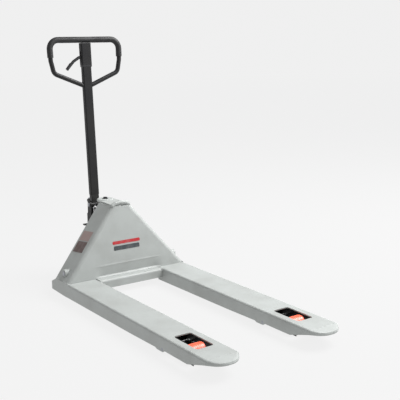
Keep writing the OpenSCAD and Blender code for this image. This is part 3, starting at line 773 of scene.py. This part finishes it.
tree, given = start_tree("grip_ribs", {"Step": 0.0045, "Radius": 0.0152, "Rib": 0.0009})
path = add(tree, "GeometryNodeMeshToCurve", {"Mesh": given["Geometry"]}).outputs[0]
stops = add(tree, "GeometryNodeCurveToPoints", {"Curve": path, "Length": given["Step"]}, mode="LENGTH")
loop = add(tree, "GeometryNodeCurvePrimitiveCircle", {"Radius": given["Radius"], "Resolution": 36}).outputs[0]
wire = add(tree, "GeometryNodeCurvePrimitiveCircle", {"Radius": given["Rib"], "Resolution": 8}).outputs[0]
rib = add(tree, "GeometryNodeCurveToMesh", {"Curve": loop, "Profile Curve": wire}).outputs[0]
laid = add(
    tree,
    "GeometryNodeInstanceOnPoints",
    {"Points": stops.outputs["Points"], "Instance": rib, "Rotation": stops.outputs["Rotation"]},
).outputs[0]
rib_tree = end_tree(tree, given, laid)
rib_runs = [[on_tiller(s * 0.045, LOOP_TOP), on_tiller(s * 0.145, LOOP_TOP)] for s in (-1, 1)]
rib_runs += [[on_tiller(s * 0.2005, 0.795), on_tiller(s * 0.2005, 0.812)] for s in (-1, 1)]
ribs = grow(rib_tree, line_seed(*rib_runs), grip_rubber)
hand_over("grip_ribs", ribs, grip_rubber, "tiller")

# %% [markdown]
# ## Tyres
#
# A solid tyre is turned or moulded on its hub. Its tread is slightly crowned, its shoulders are
# rounded, and a fine moulding line runs round the middle of each side. The section is drawn once, as
# radius against width, and turned about the axle.


# %% Turning a section about an axle
def turned(work, section, centre, steps=96):
    """Turns a closed section of (across, radius) points about a line along X."""
    x, y, z = centre
    rings = []
    for i in range(steps):
        a = 2 * math.pi * i / steps
        rings.append(
            [work.verts.new((x + s, y + r * math.cos(a), z + r * math.sin(a))) for s, r in section]
        )
    for i, ring in enumerate(rings):
        following = rings[(i + 1) % steps]
        for k in range(len(section)):
            m = (k + 1) % len(section)
            work.faces.new((ring[k], ring[m], following[m], following[k]))


def tyre_section(width, bore, outer, shoulder, crown):
    """Half the tread is drawn and mirrored. The side has a shallow groove at its middle."""
    half = width / 2
    mid = (bore + outer) / 2
    right = [(half - 0.0012, bore), (half, bore + 0.0012), (half, mid - 0.0022), (half - 0.0009, mid)]
    right += [(half, mid + 0.0022)]
    top = outer - crown
    for i in range(7):
        a = math.pi / 2 * i / 6
        right.append((half - shoulder + shoulder * math.cos(a), top - shoulder + shoulder * math.sin(a)))
    for t in (0.75, 0.5, 0.25):
        right.append(((half - shoulder) * t, top + crown * (1 - t * t)))
    left = [(-s, r) for s, r in reversed(right)]
    return right + [(0.0, outer)] + left


# %% Load and steer tyres
def node_centre(name):
    low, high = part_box(name)
    return (low + high) / 2


for side in ("left", "right"):
    for kind, bore, shoulder, crown, finish, slot_name in (
        ("load", 0.0255, 0.004, 0.0006, orange_polyurethane, "load_tyre"),
        ("steer", 0.0685, 0.006, 0.0010, solid_rubber, "steer_tyre"),
    ):
        node = f"{side}_{kind}_tyre"
        low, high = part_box(node)
        section = tyre_section(high.x - low.x - 0.0004, bore, (high.z - low.z) / 2 - 0.0002, shoulder, crown)
        mesh = closed_mesh(node, lambda w: turned(w, section, node_centre(node)))
        hand_over(f"{node}_turned", shade(mesh, 40), finish, f"{side}_{kind}_wheel", [node])

# %% [markdown]
# ## Screws and rivets on a circle
#
# Bearing covers and hubs are held by small screws at equal steps round a circle. The tree makes a
# circle of points and puts a screw head on each. A head is a hexagon on a thin washer.

# %% Bolt circle tree
SIDEWAYS = Vector((0, 1.5708, 0))
tree, given = start_tree(
    "bolt_circle", {"Circle": 0.034, "Count": 5, "Head": 0.0045, "Height": 0.0026, "Turn": SIDEWAYS}
)
round_line = add(tree, "GeometryNodeMeshCircle", {"Vertices": given["Count"], "Radius": given["Circle"]})
head = add(
    tree, "GeometryNodeMeshCylinder", {"Vertices": 6, "Radius": given["Head"], "Depth": given["Height"]}
)
washer_radius = add(tree, "ShaderNodeMath", {0: given["Head"], 1: 1.35}, operation="MULTIPLY").outputs[0]
washer_height = add(tree, "ShaderNodeMath", {0: given["Height"], 1: 0.4}, operation="MULTIPLY").outputs[0]
washer = add(
    tree, "GeometryNodeMeshCylinder", {"Vertices": 24, "Radius": washer_radius, "Depth": washer_height}
)
screw = add(tree, "GeometryNodeJoinGeometry")
for part in (head, washer):
    tree.links.new(part.outputs["Mesh"], screw.inputs[0])
placed = add(
    tree, "GeometryNodeInstanceOnPoints", {"Points": round_line.outputs["Mesh"], "Instance": screw.outputs[0]}
).outputs[0]
turned_round = add(tree, "GeometryNodeTransform", {"Geometry": placed, "Rotation": given["Turn"]}).outputs[0]
each_seat = add(
    tree, "GeometryNodeInstanceOnPoints", {"Points": given["Geometry"], "Instance": turned_round}
).outputs[0]
circle_tree = end_tree(tree, given, each_seat, smooth=False)


def point_seed(*places):
    mesh = bpy.data.meshes.new("points")
    mesh.from_pydata([tuple(p) for p in places], [], [])
    return mesh


# %% Screws on the steer hubs
for side, sign in (("left", -1), ("right", 1)):
    centre = node_centre(f"{side}_steer_hub")
    faces = [centre + Vector((sign * d, 0, 0)) for d in (0.0105, -0.0105)]
    screws = grow(circle_tree, point_seed(*faces), zinc_plate)
    hand_over(f"{side}_hub_screws", screws, zinc_plate, f"{side}_steer_wheel")

# %% [markdown]
# ## Shade under the fork roof
#
# Light from a pale floor comes up through the open channels, and the roller openings would look pale.
# So each channel gets a black tray behind the roller and thin black plates round its pocket: painted shade,
# dark pieces that stand where the channel would be in shade. They are there for the look, and are not known
# parts of a truck like this one.


# %% Black trays and plates: painted shade in the channels
def build_shade_tray(work, x):
    """A shallow black tray between the fork walls, open towards the roller, as painted shade in the channel.
    """
    floor_z, wall_z, wide = 0.0215, 0.052, 0.0735
    profile = [(-wide, wall_z), (-wide, floor_z), (wide, floor_z), (wide, wall_z)]
    inner = [(s * (wide - 0.002) / wide, max(z, floor_z + 0.002)) for s, z in profile]
    rims = []
    for y in (-0.443, -0.160):
        rims.append([work.verts.new((x + s, y, z)) for s, z in profile + inner[::-1]])
    count = len(rims[0])
    for i in range(count):
        k = (i + 1) % count
        work.faces.new((rims[0][i], rims[0][k], rims[1][k], rims[1][i]))
    for rim, turn in ((rims[0], 1), (rims[1], -1)):
        for i in range(3):
            work.faces.new((rim[i], rim[i + 1], rim[6 - i], rim[7 - i])[::turn])


def build_shade_plates(work, x):
    """Thin black plates round the roller's pocket as painted shade: two along the walls and one across the
    front.
    """
    for low, high in (
        ((-0.0742, -0.700, 0.0265), (-0.0730, -0.443, 0.0742)),
        ((0.0730, -0.700, 0.0265), (0.0742, -0.443, 0.0742)),
        ((-0.0730, -0.702, 0.0320), (0.0730, -0.700, 0.0742)),
    ):
        box = bmesh.ops.create_cube(work, size=1.0)["verts"]
        for vert in box:
            spans = zip(vert.co, low, high)
            vert.co = Vector([l + (v + 0.5) * (h - l) for v, l, h in spans]) + Vector((x, 0, 0))


# The trays and plates are black painted shade in the fork channels, not parts of the truck.
for side, x in (("left", -0.2625), ("right", 0.2625)):
    mesh = closed_mesh(f"{side}_liner", lambda w: (build_shade_tray(w, x), build_shade_plates(w, x)))
    hand_over(f"{side}_channel_liner", mesh, black_coat, "chassis")

# %% [markdown]
# ## Release chain
#
# A release chain runs down from the rod inside the tiller. This is the straight 40 mm of it just above
# the tiller pivot, and it rides stiffly with the rod. Every second link is turned a quarter turn. The
# tree lays a link on each point of a line and turns the odd ones.

# %% Chain tree
tree, given = start_tree("chain", {"Pitch": 0.0062, "Length": 0.0094, "Width": 0.0064, "Wire": 0.0010})
line = add(tree, "GeometryNodeMeshToCurve", {"Mesh": given["Geometry"]}).outputs[0]
stops = add(tree, "GeometryNodeCurveToPoints", {"Curve": line, "Length": given["Pitch"]}, mode="LENGTH")
oval = add(tree, "GeometryNodeCurvePrimitiveCircle", {"Radius": 0.5, "Resolution": 20}).outputs[0]
narrow = add(tree, "ShaderNodeCombineXYZ", {"X": given["Width"], "Y": given["Length"], "Z": 1.0}).outputs[0]
link_line = add(tree, "GeometryNodeTransform", {"Geometry": oval, "Scale": narrow}).outputs[0]
on_end = add(
    tree, "GeometryNodeTransform", {"Geometry": link_line, "Rotation": (math.pi / 2, 0, 0)}
).outputs[0]
wire = add(tree, "GeometryNodeCurvePrimitiveCircle", {"Radius": given["Wire"], "Resolution": 8}).outputs[0]
link = add(tree, "GeometryNodeCurveToMesh", {"Curve": on_end, "Profile Curve": wire}).outputs[0]
number = add(tree, "GeometryNodeInputIndex").outputs[0]
odd = add(tree, "ShaderNodeMath", {0: number, 1: 2.0}, operation="MODULO").outputs[0]
quarter = add(tree, "ShaderNodeMath", {0: odd, 1: math.pi / 2}, operation="MULTIPLY").outputs[0]
twist = add(tree, "ShaderNodeCombineXYZ", {"Z": quarter}).outputs[0]
strung = add(
    tree,
    "GeometryNodeInstanceOnPoints",
    {"Points": stops.outputs["Points"], "Instance": link, "Rotation": twist},
).outputs[0]
chain_tree = end_tree(tree, given, strung)
chain_line = line_seed([on_tiller(0, 0.016), on_tiller(0, 0.056)])
chain_mesh = grow(chain_tree, chain_line, zinc_plate)
hand_over("release_chain_links", chain_mesh, zinc_plate, "lever_rod")

# %% [markdown]
# ## Small hardware
#
# A grease nipple feeds the rocker, and snap rings keep the roller axles and the rocker shaft in place.
# A nipple is a stack of four short drums. A snap ring is a wire bent round most of a circle.

# %% Nipple and snap ring trees
tree, given = start_tree("grease_nipple", {"Size": 0.001, "Turn": Vector((0, 0, 0))})
steps = []
NIPPLE_STEPS = ((3.4, 0, 2.6, 6), (2.2, 2.6, 4.2, 20), (3.0, 4.2, 5.6, 20), (1.6, 5.6, 6.6, 20))
for radius, low, high, sides in NIPPLE_STEPS:
    drum = add(
        tree,
        "GeometryNodeMeshCylinder",
        {"Vertices": sides, "Radius": radius, "Depth": high - low},
    ).outputs["Mesh"]
    lifted = add(
        tree, "GeometryNodeTransform", {"Geometry": drum, "Translation": (0, 0, (low + high) / 2)}
    ).outputs[0]
    steps.append(lifted)
stack = add(tree, "GeometryNodeJoinGeometry")
for part in steps:
    tree.links.new(part, stack.inputs[0])
scaled = add(
    tree,
    "GeometryNodeInstanceOnPoints",
    {
        "Points": given["Geometry"],
        "Instance": stack.outputs[0],
        "Rotation": given["Turn"],
        "Scale": add(
            tree, "ShaderNodeCombineXYZ", {"X": given["Size"], "Y": given["Size"], "Z": given["Size"]}
        ).outputs[0],
    },
).outputs[0]
nipple_tree = end_tree(tree, given, scaled, smooth=False)

tree, given = start_tree("snap_ring", {"Radius": 0.0088, "Wire": 0.0008})
open_ring = add(
    tree,
    "GeometryNodeCurveArc",
    {"Radius": given["Radius"], "Resolution": 40, "Start Angle": 0.25, "Sweep Angle": 5.8},
).outputs[0]
wire = add(tree, "GeometryNodeCurvePrimitiveCircle", {"Radius": given["Wire"], "Resolution": 8}).outputs[0]
ring = add(
    tree, "GeometryNodeCurveToMesh", {"Curve": open_ring, "Profile Curve": wire, "Fill Caps": True}
).outputs[0]
upright = add(tree, "GeometryNodeTransform", {"Geometry": ring, "Rotation": (0, math.pi / 2, 0)}).outputs[0]
worn = add(
    tree, "GeometryNodeInstanceOnPoints", {"Points": given["Geometry"], "Instance": upright}
).outputs[0]
ring_tree = end_tree(tree, given, worn)

# %% Hardware in place
for side, x in (("left", -0.2625), ("right", 0.2625)):
    axle = [(x + d, -0.608, 0.037) for d in (-0.0430, 0.0430)]
    rings = grow(ring_tree, point_seed(*axle), zinc_plate, Radius=0.0078)
    hand_over(f"{side}_axle_snap_rings", rings, zinc_plate, f"{side}_arm")

shaft_ends = [(s * 0.3268, SLEEVE_Y, SLEEVE_Z) for s in (-1, 1)]
rings = grow(ring_tree, point_seed(*shaft_ends), zinc_plate, Radius=0.0112, Wire=0.0007)
hand_over("shaft_snap_rings", rings, zinc_plate, "rocker")

nipples = grow(nipple_tree, point_seed((0.0, SLEEVE_Y, SLEEVE_Z + 0.0195)), zinc_plate, Size=0.0011)
hand_over("rocker_grease_nipple", nipples, zinc_plate, "rocker")

# %% [markdown]
# ## Pump skin
#
# The oil tank is rolled sheet with a flange at its foot and one rolled-in groove near its top. Four
# screws sit on its upper face.

# %% Tank wall, groove and screws
tank_low, tank_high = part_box("oil_tank")
tank_mid = (tank_low + tank_high) / 2


def standing(work, section, centre, steps=96):
    """Turns a closed section of (radius, height) points about an upright line."""
    rings = []
    for i in range(steps):
        a = 2 * math.pi * i / steps
        rings.append(
            [work.verts.new((centre.x + r * math.cos(a), centre.y + r * math.sin(a), h)) for r, h in section]
        )
    for i, ring in enumerate(rings):
        following = rings[(i + 1) % steps]
        for k in range(len(section)):
            m = (k + 1) % len(section)
            work.faces.new((ring[k], ring[m], following[m], following[k]))


radius = (tank_high.x - tank_low.x) / 2 - 0.0002
foot, head = tank_low.z, tank_high.z
wall = [(radius - 0.024, foot), (radius, foot), (radius, foot + 0.006), (radius - 0.0025, foot + 0.009)]
wall += [(radius - 0.0025, head - 0.017)]
for i in range(9):
    t = i / 8
    wall.append((radius - 0.0025 - 0.0022 * math.sin(math.pi * t), head - 0.017 + 0.007 * t))
wall += [(radius - 0.0025, head - 0.006), (radius - 0.0055, head - 0.001), (radius - 0.009, head)]
wall += [(0.0302, head), (0.0302, foot)]
tank = closed_mesh("tank", lambda w: standing(w, wall, tank_mid))
hand_over("rolled_oil_tank", shade(tank, 30), black_coat, "pump_unit", ["oil_tank"])
tank_screws = grow(
    circle_tree, point_seed((0, tank_mid.y, head + 0.0004)), black_oxide, Circle=0.041, Count=4, Head=0.0034,
    Height=0.0030, Turn=(0, 0, 0.785)
)
hand_over("tank_screws", tank_screws, black_oxide, "pump_unit")

# %% [markdown]
# ## Lever housing
#
# The housing at the top of the tiller is folded plate. A moulded collar closes the gap where the tube
# enters, and the tip of the lever wears a moulded sleeve.

# %% Housing collar and lever tip
def build_collar(work):
    """A rounded frame round the tube just under the housing."""
    wide, deep, corner = 0.0285, 0.0162, 0.006
    outline = []
    for cx, cy, start in ((1, 1, 0), (-1, 1, 90), (-1, -1, 180), (1, -1, 270)):
        for i in range(7):
            a = math.radians(start + 15 * i)
            across = cx * (wide - corner) + corner * math.cos(a)
            outline.append((across, cy * (deep - corner) + corner * math.sin(a)))
    rings = []
    for scale, along in ((0.86, 0.733), (0.98, 0.735), (1.0, 0.739), (1.0, 0.7446), (0.86, 0.7446)):
        rings.append([work.verts.new(on_tiller(u * scale, along, v * scale)) for u, v in outline])
    rings.append(rings[0])
    for lower, upper in zip(rings, rings[1:]):
        for i in range(len(outline)):
            k = (i + 1) % len(outline)
            work.faces.new((lower[i], lower[k], upper[k], upper[i]))


collar = closed_mesh("collar", build_collar)
hand_over("housing_collar", shade(collar, 40), black_nylon, "tiller")
tip_line = [on_tiller(-0.086, 0.752), on_tiller(-0.0992, 0.7373), on_tiller(-0.112, 0.722)]
tip = grow(tube_tree, line_seed(tip_line), black_nylon, Radius=0.0083, Step=0.003)
hand_over("lever_tip_sleeve", tip, black_nylon, "hand_lever")

# %% [markdown]
# ## Plunger spring
#
# The spring stands between the pump barrel and the plunger's cap, and on the truck it gets shorter as the
# plunger goes down. Here it is drawn once, at one length, and rides on no body. The end coils are nearly
# closed, as on a real compression spring, and the others are open.

# %% Coil spring at one length
COIL_RADIUS, WIRE_RADIUS, END_GAP, STEPS_PER_TURN = 0.013, 0.002, 0.0001, 24
TURNS, CLOSED_TURNS, CLOSED_PITCH = 7.0, 0.75, 0.0042
spring_low, spring_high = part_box("plunger_spring")
coil_x, coil_y = (spring_low.x + spring_high.x) / 2, (spring_low.y + spring_high.y) / 2
first, last = spring_low.z + WIRE_RADIUS + END_GAP, spring_high.z - WIRE_RADIUS - END_GAP
open_pitch = (last - first - 2 * CLOSED_TURNS * CLOSED_PITCH) / (TURNS - 2 * CLOSED_TURNS)


def coil_height(turn):
    """How high the wire is after a number of turns, with closed coils at both ends."""
    closed = min(turn, CLOSED_TURNS) + max(turn - (TURNS - CLOSED_TURNS), 0)
    return first + closed * CLOSED_PITCH + (turn - closed) * open_pitch


coil_line = []
for step in range(round(TURNS * STEPS_PER_TURN) + 1):
    turn = step / STEPS_PER_TURN
    angle = math.tau * turn
    coil_line.append(Vector((
        coil_x + COIL_RADIUS * math.cos(angle), coil_y + COIL_RADIUS * math.sin(angle), coil_height(turn)
    )))
wire = grow(tube_tree, line_seed(coil_line), black_oxide, Radius=WIRE_RADIUS, Step=0.003, Sides=12)
wire.materials.clear()
wire.materials.append(black_oxide)
spring = bpy.data.objects.new("coil_spring", wire)
bpy.context.scene.collection.objects.link(spring)
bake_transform(spring)
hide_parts("plunger_spring")
print(f"coil_spring: {len(wire.polygons)} faces, open pitch {open_pitch * 1000:.1f} mm")

# %% Measure the two boxes and finish
bpy.context.view_layer.update()
seen_low, seen_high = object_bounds()
sizes = {
    "cad": [list(cad_low), list(cad_high)],
    "visual": [list(seen_low), list(seen_high)],
}
print("size:", [round(v, 4) for v in seen_high - seen_low])
